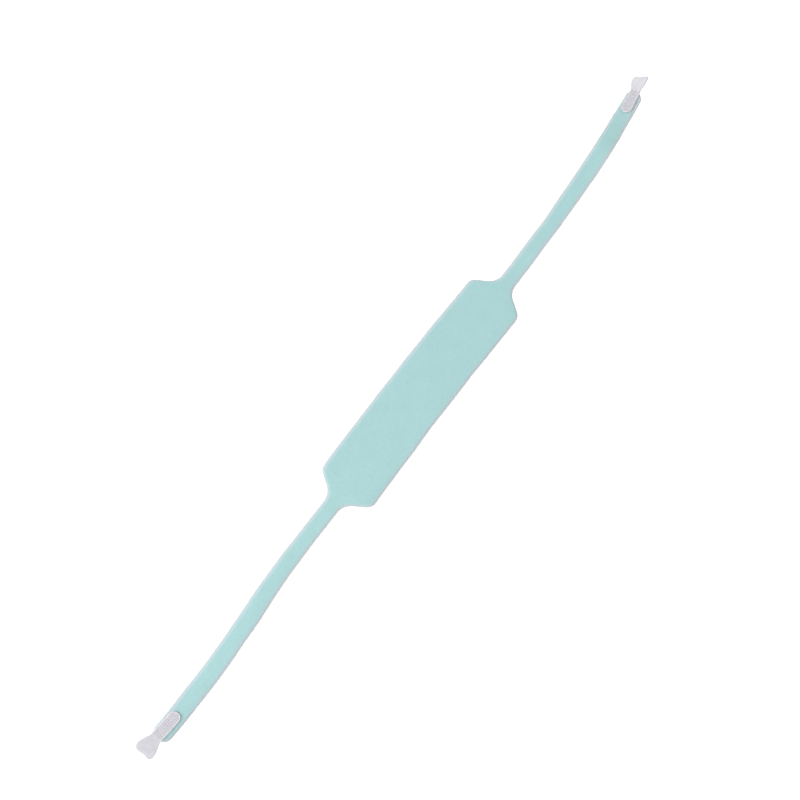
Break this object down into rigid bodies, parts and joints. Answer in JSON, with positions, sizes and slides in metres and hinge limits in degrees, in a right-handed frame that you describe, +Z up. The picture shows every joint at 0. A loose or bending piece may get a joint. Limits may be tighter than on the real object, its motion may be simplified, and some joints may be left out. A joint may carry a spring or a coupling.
{
  "type": "padded hook-and-loop strap",
  "caption": "Soft laminated band with a wide pad, two narrow tails and white hook tabs that fold back onto its loop face.",
  "frame": {"origin": "middle of the pad, on the underside of its lining, where the pad rests", "axes": "+X along the strap towards the shorter, raised tail; +Y across the strap; +Z up, out of the loop face"},
  "size_m": [0.4028, 0.0307, 0.011],
  "materials": {
    "loop_fabric": "matte",
    "foam": "matte",
    "lining": "matte",
    "hook_plastic": "satin",
    "adhesive": "satin"
  },
  "bodies": {
    "pad_centre": {"lining_pad_centre": "lining", "foam_core_pad_centre": "foam", "loop_face_pad_centre": "loop_fabric"},
    "pad_left": {"lining_pad_left": "lining", "foam_core_pad_left": "foam", "loop_face_pad_left": "loop_fabric"},
    "tail_inner_left": {"lining_tail_inner_left": "lining", "foam_core_tail_inner_left": "foam", "loop_face_tail_inner_left": "loop_fabric"},
    "tail_outer_left": {"lining_tail_outer_left": "lining", "foam_core_tail_outer_left": "foam", "loop_face_tail_outer_left": "loop_fabric"},
    "fold_left": {"lining_fold_left": "lining", "foam_core_fold_left": "foam", "loop_face_fold_left": "loop_fabric"},
    "tip_left": {"lining_tip_left": "lining", "foam_core_tip_left": "foam", "loop_face_tip_left": "loop_fabric", "bond_film_left": "adhesive", "hook_tab_left": "hook_plastic"},
    "pad_right": {"lining_pad_right": "lining", "foam_core_pad_right": "foam", "loop_face_pad_right": "loop_fabric"},
    "tail_inner_right": {"lining_tail_inner_right": "lining", "foam_core_tail_inner_right": "foam", "loop_face_tail_inner_right": "loop_fabric"},
    "tail_outer_right": {"lining_tail_outer_right": "lining", "foam_core_tail_outer_right": "foam", "loop_face_tail_outer_right": "loop_fabric"},
    "fold_right": {"lining_fold_right": "lining", "foam_core_fold_right": "foam", "loop_face_fold_right": "loop_fabric"},
    "tip_right": {"lining_tip_right": "lining", "foam_core_tip_right": "foam", "loop_face_tip_right": "loop_fabric", "bond_film_right": "adhesive", "hook_tab_right": "hook_plastic"}
  },
  "joints": [
    {"name": "wrap_left", "type": "hinge", "parent": "pad_centre", "child": "pad_left", "pos_m": [-0.02, 0, 0], "axis": [0, -1, 0], "range_deg": [0, 40]},
    {"name": "shoulder_bend_left", "type": "hinge", "parent": "pad_left", "child": "tail_inner_left", "pos_m": [-0.07, -0.00035, 0], "axis": [0, -1, 0], "range_deg": [0, 40]},
    {"name": "tail_bend_left", "type": "hinge", "parent": "tail_inner_left", "child": "tail_outer_left", "pos_m": [-0.112, -0.00092, 0], "axis": [0, -1, 0], "range_deg": [0, 40]},
    {"name": "fold_start_left", "type": "hinge", "parent": "tail_outer_left", "child": "fold_left", "pos_m": [-0.158, -0.00366, 0.003], "axis": [-0.0219, 0.9998, 0], "range_deg": [0, 89.5]},
    {"name": "fold_end_left", "type": "hinge", "parent": "fold_left", "child": "tip_left", "pos_m": [-0.162, -0.00376, 0.003], "axis": [-0.0219, 0.9998, 0], "range_deg": [0, 89.5]},
    {"name": "wrap_right", "type": "hinge", "parent": "pad_centre", "child": "pad_right", "pos_m": [0.02, 0, 0], "axis": [0, 1, 0], "range_deg": [0, 40]},
    {"name": "shoulder_bend_right", "type": "hinge", "parent": "pad_right", "child": "tail_inner_right", "pos_m": [0.07, -0.00085, 0], "axis": [0, 1, 0], "range_deg": [0, 40]},
    {"name": "tail_bend_right", "type": "hinge", "parent": "tail_inner_right", "child": "tail_outer_right", "pos_m": [0.103, -0.00033, 0.00299], "axis": [0, 1, 0], "range_deg": [0, 40]},
    {"name": "fold_start_right", "type": "hinge", "parent": "tail_outer_right", "child": "fold_right", "pos_m": [0.1484, 0.00244, 0.01114], "axis": [0.0892, -0.996, 0], "range_deg": [0, 96]},
    {"name": "fold_end_right", "type": "hinge", "parent": "fold_right", "child": "tip_right", "pos_m": [0.1524, 0.0028, 0.01105], "axis": [0.0892, -0.996, 0], "range_deg": [0, 96]}
  ],
  "couplings": [
    {"joint": "shoulder_bend_left", "follows": "wrap_left", "ratio": 1},
    {"joint": "tail_bend_left", "follows": "wrap_left", "ratio": 1},
    {"joint": "fold_end_left", "follows": "fold_start_left", "ratio": 1},
    {"joint": "shoulder_bend_right", "follows": "wrap_right", "ratio": 1},
    {"joint": "tail_bend_right", "follows": "wrap_right", "ratio": 1},
    {"joint": "fold_end_right", "follows": "fold_start_right", "ratio": 1}
  ]
}
